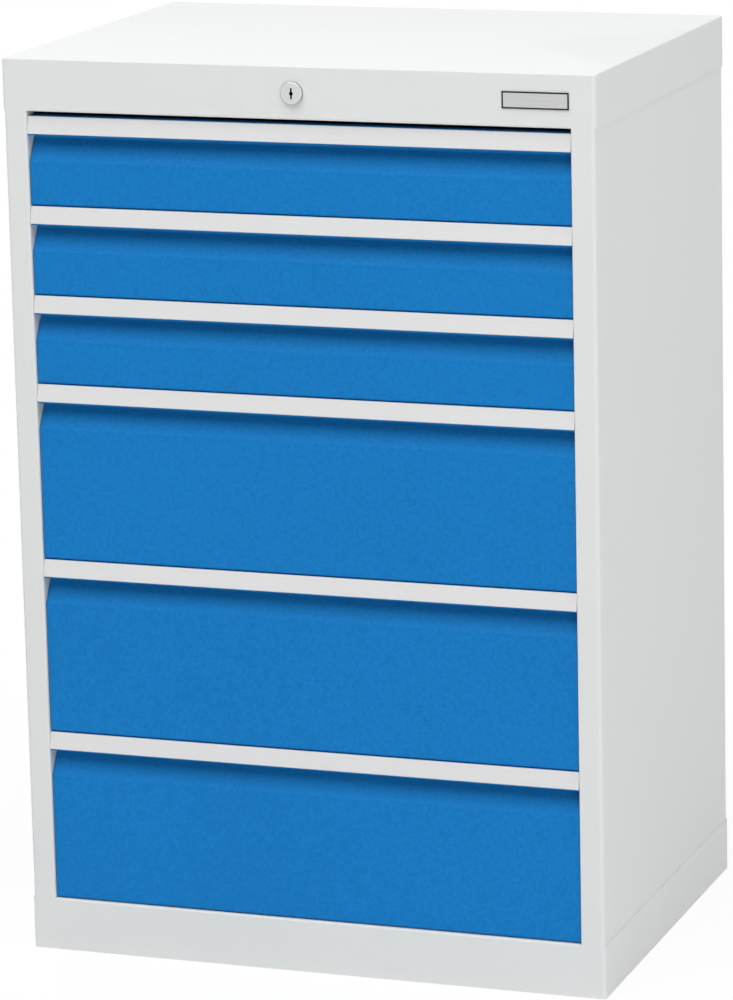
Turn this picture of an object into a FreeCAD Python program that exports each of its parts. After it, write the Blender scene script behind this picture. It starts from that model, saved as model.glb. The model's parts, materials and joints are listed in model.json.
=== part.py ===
import FreeCAD, Part
import Sketcher
import math
import os
import re

# Six-drawer lock cabinet of folded steel sheet, in millimetres.
# +X is to the right, +Y to the rear and +Z up; the front faces -Y.
# The origin is on the floor, in the middle of the whole width and depth.

SIZES = {
    # Carcass
    "width": 680,
    "depth": 500,
    "hood_height": 58,
    "plinth_height": 60,
    "cover_skin": 1.2,
    "side_skin": 1.2,
    "back_skin": 1,
    "stile_width": 27.8,
    "rear_flange": 20,
    "plinth_foot": 25,
    "panel_tuck": 38,
    "floor_turn": 19,
    "edge_radius": 4,
    "rim_radius": 1.5,
    "opening_slack": 1,
    "floor_gap": 0.5,
    # Drawer rows, each a number of post slots high, from the top down
    "slot_pitch": 25,
    "units_1": 4,
    "units_2": 4,
    "units_3": 4,
    "units_4": 8,
    "units_5": 8,
    "units_6": 8,
    # Slotted posts and the hooks of the rails
    "post_skin": 1.5,
    "post_width": 30,
    "post_setback": 20,
    "slot_height": 16,
    "slot_width": 3,
    "hook_skin": 2,
    "hook_neck": 8,
    "hook_drop": 5,
    "hook_reach": 4,
    "hook_play": 0.5,
    # Drawer fronts
    "front_gap": 1,
    "foot_gap": 0.6,
    "top_drop": 4.2,
    "front_skin": 1,
    "face_setback": 3.7,
    "recess_depth": 18.5,
    "recess_head": 30,
    "recess_foot": 55,
    "bend_radius": 0.8,
    "foot_radius": 1.8,
    "crease_radius": 2.4,
    "grip_drop": 0.6,
    "grip_height": 19.2,
    "grip_skin": 1.5,
    "grip_round": 0.4,
    "grip_end_gap": 0.3,
    "lip_drop": 1.8,
    # Drawer trays
    "tray_skin": 1,
    "tray_lift": 2.5,
    "tray_headroom": 15,
    "tray_rim": 8,
    "catch_height": 60,
    "catch_reach": 14,
    "catch_lip": 8,
    "catch_width": 24,
    # Ball slides
    "rail_inset": 2.3,
    "rail_gap": 4,
    "rail_end_gap": 22.6,
    "drawer_travel": 400,
    "rail_skin": 1.5,
    "slide_width": 13,
    "outer_rail_height": 46,
    "rail_lip": 4,
    "middle_rail_lip": 3.5,
    "rail_step": 3,
    "rail_tip_gap": 1,
    "rail_bend": 0.5,
    "ball_size": 4,
    "ball_slack": 0.04,
    "ball_offset": 7.5,
    "ball_rows": 8,
    "cage_margin": 15,
    "cage_skin": 0.6,
    "cage_gap": 0.4,
    "cage_reach": 2.6,
    "cage_pocket_slack": 0.15,
    # Lock
    "lock_reach": 4.5,
    "rosette_size": 25,
    "rosette_round": 1.2,
    "barrel_size": 19,
    "barrel_length": 24,
    "barrel_slack": 0.2,
    "nut_size": 30,
    "nut_height": 4,
    "nut_slack": 0.05,
    "core_size": 15,
    "core_slack": 0.05,
    "core_inset": 0.3,
    "core_tail": 2,
    "keyhole_height": 12,
    "keyhole_width": 2,
    "keyhole_bore": 4.3,
    "keyhole_depth": 18,
    "shaft_size": 8,
    "shaft_slack": 0.05,
    "crank_radius": 8.5,
    "crank_rim": 4,
    "crank_thick": 4,
    "pin_size": 6,
    "pin_slack": 0.5,
    "pin_spare": 2,
    "bracket_width": 40,
    "bracket_skin": 3,
    "bracket_foot": 15,
    "bracket_gap": 11,
    # Locking bar behind the drawers
    "bar_setback": 15,
    "bar_gap": 6,
    "bar_skin": 2,
    "bar_width": 30,
    "bar_head": 9,
    "bar_tail": 15,
    "claw_width": 16,
    "claw_height": 10,
    "claw_play": 2.5,
    "claw_clear": 5,
    "guide_width": 48,
    "guide_height": 20,
    "guide_rise": 4,
    "guide_slack": 0.4,
    "guide_lip": 2,
    "guide_grip": 5,
    # Bare badge plate
    "badge_width": 74.5,
    "badge_height": 18.5,
    "badge_skin": 1,
    "badge_inset": 29,
    "badge_rim": 1.3,
    "badge_relief": 0.3,
    # Rear rivets
    "rivet_rows": 6,
    "rivet_edge": 8,
    "rivet_size": 3.2,
    "rivet_slack": 0.1,
    "rivet_head": 6.4,
    "rivet_dome": 1,
    "rivet_tail": 1.5,
}

DRAWERS = range(1, 7)
GUIDED_DRAWERS = (1, 3, 5)
RAIL_SLOT = 2
NEARNESS = 0.01

# Places worked out from the sizes. Formulas name the sizes in plain words.
FRONT = "((lock_reach - depth)/2)"
REAR_FACE = f"({FRONT} + depth - cover_skin)"
BACK_PANEL = f"({REAR_FACE} - side_skin - back_skin)"
OPENING_HALF = "(width/2 - stile_width)"
SIDE_FACE = "(width/2 - cover_skin)"
SIDE_INNER = f"({SIDE_FACE} - side_skin)"
ALL_UNITS = "(" + " + ".join(f"units_{number}" for number in DRAWERS) + ")"
HOOD_FOOT = f"(plinth_height + slot_pitch*{ALL_UNITS} + opening_slack)"
HOOD_TOP = f"({HOOD_FOOT} + hood_height)"
LOCK_LEVEL = f"({HOOD_FOOT} + hood_height/2)"
RAIL_PLANE = f"({OPENING_HALF} + rail_inset)"
TRAY_HALF = f"({RAIL_PLANE} - slide_width)"
BAR_FRONT = f"({BACK_PANEL} - bar_setback - bar_skin)"
TRAY_FRONT = f"({FRONT} + recess_depth + front_skin)"
TRAY_REAR = f"({BAR_FRONT} - bar_gap - catch_reach)"
TRAY_DEPTH = f"({TRAY_REAR} - {TRAY_FRONT})"
STILE_BACK = f"({TRAY_FRONT} + floor_gap)"
RAIL_FRONT = f"({STILE_BACK} + rail_gap)"
RAIL_REAR = f"({BACK_PANEL} - rail_end_gap)"
RAIL_LENGTH = f"({RAIL_REAR} - {RAIL_FRONT})"
POST_STARTS = {
    "front": f"({RAIL_FRONT} + post_setback)",
    "rear": f"({RAIL_REAR} - post_setback - post_width)",
}
CAGE_FRONT = f"({RAIL_FRONT} + drawer_travel/4 + cage_margin)"
CAGE_LENGTH = f"({RAIL_LENGTH} - drawer_travel/2 - 2*cage_margin)"
FLOOR_LEVEL = "(plinth_height + side_skin)"
CRANK_FRONT = f"({BAR_FRONT} - pin_spare - crank_thick)"
CRANK_SHIFT = "(crank_radius/sqrt(2))"
RIVET_SPOT = f"({SIDE_FACE} - rear_flange + rivet_edge)"
BEND = "(bend_radius + cover_skin)"

ALONG_X = FreeCAD.Vector(1, 0, 0)
ALONG_Y = FreeCAD.Vector(0, 1, 0)
ALONG_Z = FreeCAD.Vector(0, 0, 1)

# A point of a sketch is held from another by a distance, or lies in line with it.
HOLD_WAYS = (("DistanceX", "Vertical", "across"), ("DistanceY", "Horizontal", "upward"))
SKETCH_ORIGIN = (-1, 1)

# How a sketch lies: its own right and up become the two named axes.
LYING = {
    "XY": FreeCAD.Rotation(),
    "XZ": FreeCAD.Rotation(ALONG_X, 90),
    "YZ": FreeCAD.Rotation(FreeCAD.Vector(1, 1, 1), 120),
}
ROD_TURN = {
    "X": FreeCAD.Rotation(ALONG_Y, 90),
    "Z": FreeCAD.Rotation(),
    "Y": FreeCAD.Rotation(ALONG_X, -90),
}

doc = FreeCAD.newDocument("drawer_cabinet")
sheet = doc.addObject("Spreadsheet::Sheet", "Sizes")
for row, (alias, number) in enumerate(SIZES.items(), 1):
    sheet.set(f"A{row}", alias)
    sheet.set(f"B{row}", str(number))
    sheet.setAlias(f"B{row}", alias)
doc.recompute()


def bound(formula):
    """Turn the plain size names of a formula into references to the sheet."""
    return re.sub(
        r"[a-z][a-z_0-9]*",
        lambda word: "Sizes." + word.group(0) if word.group(0) in SIZES else word.group(0),
        formula,
    )


def value(formula):
    """The present number of a formula."""
    return float(sheet.evalExpression(bound(formula)))


def bind(thing, settings):
    for place, formula in settings.items():
        thing.setExpression(place, bound(formula))
    return thing


def place(thing, x="0", y="0", z="0"):
    return bind(thing, {"Placement.Base.x": x, "Placement.Base.y": y, "Placement.Base.z": z})


def block(name, low, size):
    """A box from its low corner, with three formulas for each."""
    box = doc.addObject("Part::Box", name)
    bind(box, {"Length": size[0], "Width": size[1], "Height": size[2]})
    return place(box, *low)


def wide_block(name, half_width, low_y, low_z, size_y, size_z):
    """A box that is centred on the middle plane of the cabinet."""
    return block(name, (f"-{half_width}", low_y, low_z), (f"2*{half_width}", size_y, size_z))


def rod(name, start, radius, length, along="Y"):
    cylinder = doc.addObject("Part::Cylinder", name)
    cylinder.Placement.Rotation = ROD_TURN[along]
    bind(cylinder, {"Radius": radius, "Height": length})
    return place(cylinder, *start)


def joined(name, pieces):
    whole = doc.addObject("Part::MultiFuse", name)
    whole.Shapes = pieces
    whole.Refine = True
    return whole


def cut(name, base, tools):
    if len(tools) == 1:
        tool = tools[0]
    else:
        tool = joined(name + "_tools", tools)
    rest = doc.addObject("Part::Cut", name)
    rest.Base = base
    rest.Tool = tool
    return rest


def group(name, pieces):
    whole = doc.addObject("Part::Compound", name)
    whole.Links = pieces
    return whole


def mirrored(name, piece):
    """The same piece on the other side of the cabinet."""
    twin = doc.addObject("Part::Mirroring", name)
    twin.Source = piece
    twin.Normal = ALONG_X
    return twin


def rounded(name, piece, picks):
    """Round the straight or circular edges that a test picks, each test with its own radius."""
    doc.recompute()
    edges = []
    for radius, test in picks:
        for number, edge in enumerate(piece.Shape.Edges, 1):
            if test(edge):
                edges.append((number, value(radius), value(radius)))
    fillet = doc.addObject("Part::Fillet", name)
    fillet.Base = piece
    fillet.Edges = edges
    return fillet


def add_chain(sketch, corners, radii, closed=False):
    """Draw straight runs from corner to corner, with a tangent bend wherever a corner has a radius."""
    count = len(corners)
    starts = list(corners)
    ends = list(corners)
    for index in range(count):
        if radii[index] > 0:
            before = (corners[index - 1] - corners[index]).normalize()
            after = (corners[(index + 1) % count] - corners[index]).normalize()
            reach = radii[index]*(before + after).Length/(before - after).Length
            ends[index] = corners[index] + before*reach
            starts[index] = corners[index] + after*reach
    lines = []
    for index in range(count if closed else count - 1):
        line = Part.LineSegment(starts[index], ends[(index + 1) % count])
        lines.append(sketch.addGeometry(line, False))
    bends = {}
    for index in range(count) if closed else range(1, count - 1):
        incoming = lines[index - 1]
        outgoing = lines[index]
        if radii[index] > 0:
            bends[index] = add_bend(sketch, corners[index], ends[index], starts[index], radii[index])
            first, last = (1, 2) if turns_left(corners[index], ends[index], starts[index]) else (2, 1)
            sketch.addConstraint(Sketcher.Constraint("Tangent", incoming, 2, bends[index], first))
            sketch.addConstraint(Sketcher.Constraint("Tangent", bends[index], last, outgoing, 1))
        else:
            sketch.addConstraint(Sketcher.Constraint("Coincident", incoming, 2, outgoing, 1))
    return lines, bends


def turns_left(corner, arriving, leaving):
    return (corner - arriving).cross(leaving - corner).z > 0


def add_bend(sketch, corner, arriving, leaving, radius):
    """Add the arc that rounds a corner between two points at the same distance from it."""
    reach = (leaving - corner).Length
    inward = (arriving + leaving)/2 - corner
    centre = corner + inward.normalize()*math.hypot(reach, radius)
    rims = (arriving, leaving) if turns_left(corner, arriving, leaving) else (leaving, arriving)
    low, high = [math.atan2(rim.y - centre.y, rim.x - centre.x) for rim in rims]
    if high < low:
        high += 2*math.pi
    return sketch.addGeometry(Part.ArcOfCircle(Part.Circle(centre, ALONG_Z, radius), low, high), False)


def hold(sketch, label, constraint, formula):
    """Add a constraint whose size follows a formula."""
    index = sketch.addConstraint(constraint)
    sketch.renameConstraint(index, label)
    sketch.setExpression(f"Constraints.{label}", bound(formula))


def step(before, after, axis):
    """The formula of how far one point of a path lies from another, along the first or second axis."""
    return f"({after[axis]}) - ({before[axis]})"


def hold_from(sketch, index, before, held, earlier, later):
    """Hold a corner of a path from the corner before it, both ways."""
    for axis, (distance, in_line, label) in enumerate(HOLD_WAYS):
        if earlier[axis] == later[axis]:
            sketch.addConstraint(Sketcher.Constraint(in_line, *before, *held))
        else:
            gap = step(earlier, later, axis)
            hold(sketch, f"{label}_{index}", Sketcher.Constraint(distance, *before, *held, value(gap)), gap)


def draw_path(sketch, points, closed=False):
    """Draw a path through points of two formulas; a third formula is the radius of the bend there.

    The first point lies on the sketch's origin and every other one is held from the one before it,
    so a change that only shifts the path doesn't disturb its shape.
    """
    corners = [
        FreeCAD.Vector(value(step(points[0], point, 0)), value(step(points[0], point, 1)), 0)
        for point in points
    ]
    radii = [value(point[2]) if len(point) > 2 else 0 for point in points]
    lines, bends = add_chain(sketch, corners, radii, closed)
    before = None
    for index, point in enumerate(points):
        if index in bends:
            held = (sketch.addGeometry(Part.Point(corners[index]), True), 1)
            for line in (lines[index - 1], lines[index]):
                sketch.addConstraint(Sketcher.Constraint("PointOnObject", *held, line))
            radius = Sketcher.Constraint("Radius", bends[index], radii[index])
            hold(sketch, f"bend_{index}", radius, point[2])
        elif index < len(lines):
            held = (lines[index], 1)
        else:
            held = (lines[-1], 2)
        if before is None:
            sketch.addConstraint(Sketcher.Constraint("Coincident", *held, *SKETCH_ORIGIN))
        else:
            hold_from(sketch, index, before, held, points[index - 1], point)
        before = held
    return corners, radii, lines


def hold_skin(sketch, index, line, far_line, ends, right, skin):
    """Hold the other face of a run at the sheet's thickness; a run along an axis also keeps its side."""
    for axis, (distance, _, _) in enumerate(HOLD_WAYS):
        if ends[0][axis] == ends[1][axis]:
            sign = "" if right[axis] > 0 else "-"
            gap = f"{sign}({skin})"
            across = Sketcher.Constraint(distance, line, 1, far_line, 1, value(gap))
            hold(sketch, f"skin_{index}", across, gap)
            return
    hold(sketch, f"skin_{index}", Sketcher.Constraint("Distance", far_line, 1, line, value(skin)), skin)


def draw_other_face(sketch, points, corners, radii, lines, skin):
    """Close the section of a sheet whose other face lies to the right of a path."""
    thickness = value(skin)
    count = len(corners)
    rights = []
    for start, end in zip(corners, corners[1:]):
        along = (end - start).normalize()
        rights.append(FreeCAD.Vector(along.y, -along.x, 0))
    far_corners = [corners[0] + rights[0]*thickness]
    far_radii = [0]
    far_formulas = [None]
    for index in range(1, count - 1):
        both = rights[index - 1] + rights[index]
        far_corners.append(corners[index] + both*(2*thickness/both.Length**2))
        if radii[index] > 0:
            opens = turns_left(corners[index], corners[index - 1], corners[index + 1])
            sign = 1 if opens else -1
            far_radii.append(radii[index] + sign*thickness)
            far_formulas.append(f"{points[index][2]} {'+' if opens else '-'} {skin}")
        else:
            far_radii.append(0)
            far_formulas.append(None)
    far_corners.append(corners[-1] + rights[-1]*thickness)
    far_radii.append(0)
    far_lines, far_bends = add_chain(sketch, far_corners, far_radii)
    for index, (line, far_line) in enumerate(zip(lines, far_lines)):
        sketch.addConstraint(Sketcher.Constraint("Parallel", line, far_line))
        hold_skin(sketch, index, line, far_line, points[index:index + 2], rights[index], skin)
    for index, bend in far_bends.items():
        hold(sketch, f"far_bend_{index}", Sketcher.Constraint("Radius", bend, far_radii[index]),
             far_formulas[index])
    for line, far_line, end, index in ((lines[0], far_lines[0], 1, 0), (lines[-1], far_lines[-1], 2, -1)):
        cap = sketch.addGeometry(Part.LineSegment(corners[index], far_corners[index]), False)
        sketch.addConstraint(Sketcher.Constraint("Coincident", line, end, cap, 1))
        sketch.addConstraint(Sketcher.Constraint("Coincident", far_line, end, cap, 2))
        sketch.addConstraint(Sketcher.Constraint("Perpendicular", cap, line))


def folded(name, lying, start, points, skin, length):
    """A folded sheet: the path runs on one face and the sheet lies to the right of it."""
    sketch = doc.addObject("Sketcher::SketchObject", name + "_section")
    sketch.Placement.Rotation = LYING[lying]
    axis = {"XY": "z", "XZ": "y", "YZ": "x"}[lying]
    right, up = lying.lower()
    place(sketch, **{axis: start, right: points[0][0], up: points[0][1]})
    corners, radii, lines = draw_path(sketch, points)
    draw_other_face(sketch, points, corners, radii, lines, skin)
    drawn = doc.addObject("Part::Extrusion", name)
    drawn.Base = sketch
    drawn.DirMode = "Custom"
    drawn.Dir = {"z": ALONG_Z, "y": ALONG_Y, "x": ALONG_X}[axis]
    drawn.Solid = True
    bind(drawn, {"LengthFwd": length})
    return drawn


def new_body(name):
    return doc.addObject("PartDesign::Body", name)


def body_sketch(body, name, role, points, level="0"):
    """A closed sketch at a level above one of the body's own planes."""
    sketch = body.newObject("Sketcher::SketchObject", name)
    plane = [item for item in body.Origin.OriginFeatures if item.Role == role][0]
    sketch.AttachmentSupport = [(plane, "")]
    sketch.MapMode = "FlatFace"
    bind(sketch, {
        "AttachmentOffset.Base.x": points[0][0],
        "AttachmentOffset.Base.y": points[0][1],
        "AttachmentOffset.Base.z": level,
    })
    doc.recompute()
    draw_path(sketch, points, closed=True)
    return sketch


def rectangle(low_x, low_y, high_x, high_y):
    return [(low_x, low_y), (high_x, low_y), (high_x, high_y), (low_x, high_y)]


def row_base(number):
    """The floor of a drawer's row."""
    below = [f"units_{lower}" for lower in DRAWERS if lower > number]
    if not below:
        return "plinth_height"
    return "(plinth_height + slot_pitch*(" + " + ".join(below) + "))"


def row_top(number):
    return f"({row_base(number)} + slot_pitch*units_{number})"


def rail_level(number):
    """The middle of a drawer's rails, which hang in one of the slots of its row."""
    return f"({row_base(number)} + slot_pitch*({RAIL_SLOT} - 1/2))"


def is_upright(edge):
    return edge.BoundBox.ZLength > edge.Length - NEARNESS


def lies_at(edge, axis, where):
    low = getattr(edge.BoundBox, axis + "Min")
    high = getattr(edge.BoundBox, axis + "Max")
    return abs(low - where) < NEARNESS and abs(high - where) < NEARNESS


# Carcass

def off_the_bend(name, centre_level, flange_level):
    """What a bend takes off the edge between a front wall and its flange, across the drawers."""
    centre = f"{FRONT} + {BEND}"
    low = f"min({centre_level}; {flange_level})"
    high = f"max({centre_level}; {flange_level})"
    corner = wide_block(name + "_corner", OPENING_HALF, FRONT, low, BEND, f"{high} - {low}")
    roll = rod(name + "_roll", (f"-{OPENING_HALF}", centre, centre_level), BEND, f"2*{OPENING_HALF}", "X")
    return cut(name, corner, [roll])


def make_hood():
    """Top cover with a skirt all round; its front skirt is the rail over the drawers."""
    top = value(HOOD_TOP)
    outer = wide_block("hood_outside", "width/2", FRONT, HOOD_FOOT, "depth", "hood_height")
    outer = rounded("hood_rounded", outer, [
        ("edge_radius", is_upright),
        ("rim_radius", lambda edge: lies_at(edge, "Z", top)),
    ])
    inner = wide_block(
        "hood_inside", SIDE_FACE, f"{FRONT} + cover_skin", f"{HOOD_FOOT} - cover_skin",
        "depth - 2*cover_skin", "hood_height",
    )
    inner = rounded("hood_inside_rounded", inner, [("edge_radius - cover_skin", is_upright)])
    lock_hole = rod(
        "hood_lock_hole", ("0", f"{FRONT} - cover_skin", LOCK_LEVEL),
        "barrel_size/2 + barrel_slack", "3*cover_skin",
    )
    shell = cut("hood_shell", outer, [inner, lock_hole])
    lintel = wide_block(
        "hood_lintel", f"({SIDE_FACE} - edge_radius)", f"{FRONT} + cover_skin/2", HOOD_FOOT,
        f"{STILE_BACK} - ({FRONT}) - cover_skin/2", "cover_skin",
    )
    bend = off_the_bend("hood_bend", f"({HOOD_FOOT} + {BEND})", HOOD_FOOT)
    return cut("hood", joined("hood_whole", [shell, lintel]), [bend])


def make_side_panel():
    """Right-hand side: rear flange, panel, front stile and its return, in one folded sheet."""
    profile = [
        (f"{SIDE_FACE} - rear_flange", REAR_FACE),
        (SIDE_FACE, REAR_FACE, "edge_radius"),
        (SIDE_FACE, FRONT, "edge_radius"),
        (OPENING_HALF, FRONT, "bend_radius + side_skin"),
        (OPENING_HALF, STILE_BACK),
    ]
    height = f"{HOOD_FOOT} - plinth_height"
    panel = folded("side_folded", "XY", "plinth_height", profile, "side_skin", height)
    tuck_depth = f"{REAR_FACE} - edge_radius - {STILE_BACK}"
    upper = block(
        "side_upper_tuck", (SIDE_INNER, STILE_BACK, HOOD_FOOT),
        ("side_skin", tuck_depth, "hood_height - cover_skin"),
    )
    lower = block(
        "side_lower_tuck", (SIDE_INNER, STILE_BACK, "plinth_height - panel_tuck"),
        ("side_skin", tuck_depth, "panel_tuck"),
    )
    whole = joined("side_whole", [panel, upper, lower])
    return cut("side_panel_right", whole, rivet_holes("side"))


def rivet_places():
    """Heights of the rear rivets."""
    step = f"({HOOD_FOOT} - plinth_height)/rivet_rows"
    return [f"plinth_height + {index + 0.5}*{step}" for index in range(int(SIZES["rivet_rows"]))]


def rivet_holes(name):
    return [
        rod(
            f"{name}_rivet_hole_{index}",
            (RIVET_SPOT, f"{BACK_PANEL} - back_skin", level),
            "rivet_size/2 + rivet_slack", "2*back_skin + 2*side_skin",
        )
        for index, level in enumerate(rivet_places())
    ]


def make_rivets():
    """Blind rivets that hold the back panel to the rear flanges."""
    right = []
    for index, level in enumerate(rivet_places()):
        tail_start = f"{BACK_PANEL} - rivet_tail"
        tail_length = "rivet_tail + back_skin + side_skin"
        shank = rod(f"rivet_shank_{index}", (RIVET_SPOT, tail_start, level), "rivet_size/2", tail_length)
        head = rod(f"rivet_head_{index}", (RIVET_SPOT, REAR_FACE, level), "rivet_head/2", "rivet_dome")
        right.append(joined(f"rivet_{index}", [shank, head]))
    right_group = group("rivets_right", right)
    return group("back_rivets", [right_group, mirrored("rivets_left", right_group)])


def make_back_panel():
    low = "plinth_height - panel_tuck"
    panel = wide_block(
        "back_sheet", f"({SIDE_INNER} - edge_radius)", BACK_PANEL, low,
        "back_skin", f"{HOOD_FOOT} + panel_tuck - ({low})",
    )
    right_holes = group("back_holes_right", rivet_holes("back"))
    left_holes = mirrored("back_holes_left", right_holes)
    return cut("back_panel", panel, [right_holes, left_holes])


def make_plinth():
    """Base ring: outer walls, a foot flange on the floor and a sill flange at the front."""
    outer = wide_block("plinth_outside", "width/2", FRONT, "0", "depth", "plinth_height")
    outer = rounded("plinth_rounded", outer, [("edge_radius", is_upright)])
    inner = wide_block(
        "plinth_inside", SIDE_FACE, f"{FRONT} + cover_skin", "cover_skin",
        "depth - 2*cover_skin", "plinth_height",
    )
    inner = rounded("plinth_inside_rounded", inner, [("edge_radius - cover_skin", is_upright)])
    floor_hole = wide_block(
        "plinth_floor_hole", f"({SIDE_FACE} - plinth_foot)", f"{FRONT} + cover_skin + plinth_foot",
        "-cover_skin", "depth - 2*cover_skin - 2*plinth_foot", "4*cover_skin",
    )
    ring = cut("plinth_ring", outer, [inner, floor_hole])
    sill = wide_block(
        "plinth_sill", f"({SIDE_FACE} - edge_radius)", f"{FRONT} + cover_skin/2",
        "plinth_height - cover_skin", f"{STILE_BACK} - ({FRONT}) - cover_skin/2", "cover_skin",
    )
    bend = off_the_bend("plinth_bend", f"(plinth_height - {BEND})", "plinth_height")
    return cut("plinth", joined("plinth_whole", [ring, sill]), [bend])


def make_floor_plate():
    """Cabinet floor with its edges turned down, between the side panels."""
    depth = f"{BACK_PANEL} - {STILE_BACK}"
    low_z = "plinth_height - floor_turn"
    outer = wide_block(
        "floor_outside", SIDE_INNER, STILE_BACK, low_z, depth, "floor_turn + side_skin",
    )
    outer = rounded("floor_rounded", outer, [("edge_radius - side_skin", is_upright)])
    inner = wide_block(
        "floor_underside", f"({SIDE_INNER} - side_skin)", f"{STILE_BACK} + side_skin",
        f"{low_z} - side_skin", f"{depth} - 2*side_skin", "floor_turn + side_skin",
    )
    inner = rounded("floor_underside_rounded", inner, [("edge_radius - 2*side_skin", is_upright)])
    return cut("floor_plate", outer, [inner])


def make_post(name, near):
    """One slotted post: a U of sheet with a row of slots for the hooks of the rails."""
    body = new_body(name)
    far = f"{near} + post_width"
    outline = [
        (SIDE_INNER, near),
        (RAIL_PLANE, near),
        (RAIL_PLANE, far),
        (SIDE_INNER, far),
        (SIDE_INNER, f"{far} - post_skin"),
        (f"{RAIL_PLANE} + post_skin", f"{far} - post_skin"),
        (f"{RAIL_PLANE} + post_skin", f"{near} + post_skin"),
        (SIDE_INNER, f"{near} + post_skin"),
    ]
    section = body_sketch(body, name + "_section", "XY_Plane", outline, FLOOR_LEVEL)
    pad = body.newObject("PartDesign::Pad", name + "_pad")
    pad.Profile = section
    bind(pad, {"Length": f"{HOOD_TOP} - cover_skin - {FLOOR_LEVEL}"})
    middle = f"{near} + post_width/2"
    slot_foot = "plinth_height + slot_pitch/2 - hook_neck/2"
    window = rectangle(
        f"{middle} - slot_width/2", slot_foot,
        f"{middle} + slot_width/2", f"{slot_foot} + slot_height",
    )
    slot = body_sketch(body, name + "_slot", "YZ_Plane", window, f"{RAIL_PLANE} + 2*post_skin")
    doc.recompute()
    pocket = body.newObject("PartDesign::Pocket", name + "_pocket")
    pocket.Profile = slot
    bind(pocket, {"Length": "3*post_skin"})
    doc.recompute()
    pattern = body.newObject("PartDesign::LinearPattern", name + "_slots")
    pattern.Originals = [pocket]
    pattern.Direction = (slot, ["V_Axis"])
    bind(pattern, {
        "Length": f"slot_pitch*({ALL_UNITS} - 1)",
        "Occurrences": ALL_UNITS,
    })
    body.Tip = pattern
    return body


def make_posts():
    right = group("posts_right", [make_post(f"{end}_post", near) for end, near in POST_STARTS.items()])
    return group("slotted_posts", [right, mirrored("posts_left", right)])


# Ball slides, built once for the right-hand side with their middle at level zero

def rail_section(half_height, near, far, lip):
    """Points of a lipped channel, as distances inward from the rail plane."""
    tip = f"{RAIL_PLANE} - {far}"
    web = f"{RAIL_PLANE} - {near}"
    bend = "rail_bend + rail_skin"
    return [
        (tip, f"{half_height} - {lip}"),
        (tip, half_height, bend),
        (web, half_height, bend),
        (web, f"-{half_height}", bend),
        (tip, f"-{half_height}", bend),
        (tip, f"-({half_height} - {lip})"),
    ]


OUTER_HALF = "(outer_rail_height/2)"
MIDDLE_HALF = f"({OUTER_HALF} - rail_skin - ball_size)"
INNER_HALF = f"({MIDDLE_HALF} - rail_skin - ball_size)"
RAIL_TIP = "(slide_width - rail_tip_gap)"
RAIL_CHANNELS = {
    "outer": (OUTER_HALF, "0", "rail_lip"),
    "middle": (MIDDLE_HALF, "rail_step", "middle_rail_lip"),
}


def make_channel(name):
    half_height, near, lip = RAIL_CHANNELS[name]
    points = rail_section(half_height, near, RAIL_TIP, lip)
    return folded(name + "_rail", "XZ", RAIL_FRONT, points, "rail_skin", RAIL_LENGTH)


def make_hook(name, post_start):
    """A blade behind the outer rail that drops into a slot of the post."""
    middle = f"{post_start} + post_width/2 - hook_skin/2"
    neck = block(
        name + "_neck", (RAIL_PLANE, middle, "-hook_neck/2"),
        ("post_skin + hook_reach", "hook_skin", "hook_neck"),
    )
    drop = block(
        name + "_drop", (f"{RAIL_PLANE} + post_skin + hook_play", middle, "-hook_neck/2 - hook_drop"),
        ("hook_reach - hook_play", "hook_skin", "hook_neck + hook_drop"),
    )
    return [neck, drop]


def make_outer_rail():
    channel = make_channel("outer")
    hooks = []
    for end, post_start in POST_STARTS.items():
        hooks.extend(make_hook(f"{end}_hook", post_start))
    return joined("outer_rail_hooked", [channel] + hooks)


def make_inner_rail():
    """Drawer member: a plain channel on the tray's wall, open to the outside."""
    wall = f"{RAIL_PLANE} - slide_width"
    tip = f"{RAIL_PLANE} - 2*rail_step - cage_gap"
    bend = "rail_bend + rail_skin"
    points = [
        (tip, f"-{INNER_HALF}"),
        (wall, f"-{INNER_HALF}", bend),
        (wall, INNER_HALF, bend),
        (tip, INNER_HALF),
    ]
    return folded("inner_rail", "XZ", RAIL_FRONT, points, "rail_skin", RAIL_LENGTH)


def make_cage(name, near, race_half):
    """Ball cage: a thin channel with pockets, and two rows of balls in them."""
    half = f"({race_half} - rail_skin - ball_size/2 + cage_skin/2)"
    web = f"{RAIL_PLANE} - {near} - cage_gap"
    tip = f"{RAIL_PLANE} - ball_offset - cage_reach"
    points = [(tip, half), (web, half), (web, f"-{half}"), (tip, f"-{half}")]
    retainer = folded(name + "_retainer", "XZ", CAGE_FRONT, points, "cage_skin", CAGE_LENGTH)
    pockets = []
    balls = []
    level = f"({race_half} - rail_skin - ball_size/2)"
    count = int(SIZES["ball_rows"])
    for index in range(count):
        spot = (f"{RAIL_PLANE} - ball_offset", f"{CAGE_FRONT} + {index + 0.5}*{CAGE_LENGTH}/ball_rows")
        pockets.append(rod(
            f"{name}_pocket_{index}", spot + (f"-{race_half}",),
            "ball_size/2 + cage_pocket_slack", f"2*{race_half}", "Z",
        ))
        for side, sign in (("top", ""), ("foot", "-")):
            ball = doc.addObject("Part::Sphere", f"{name}_ball_{side}_{index}")
            bind(ball, {"Radius": "ball_size/2 - ball_slack"})
            place(ball, *spot, f"{sign}{level}")
            balls.append(ball)
    return group(name, [cut(name + "_pierced", retainer, pockets)] + balls)


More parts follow.
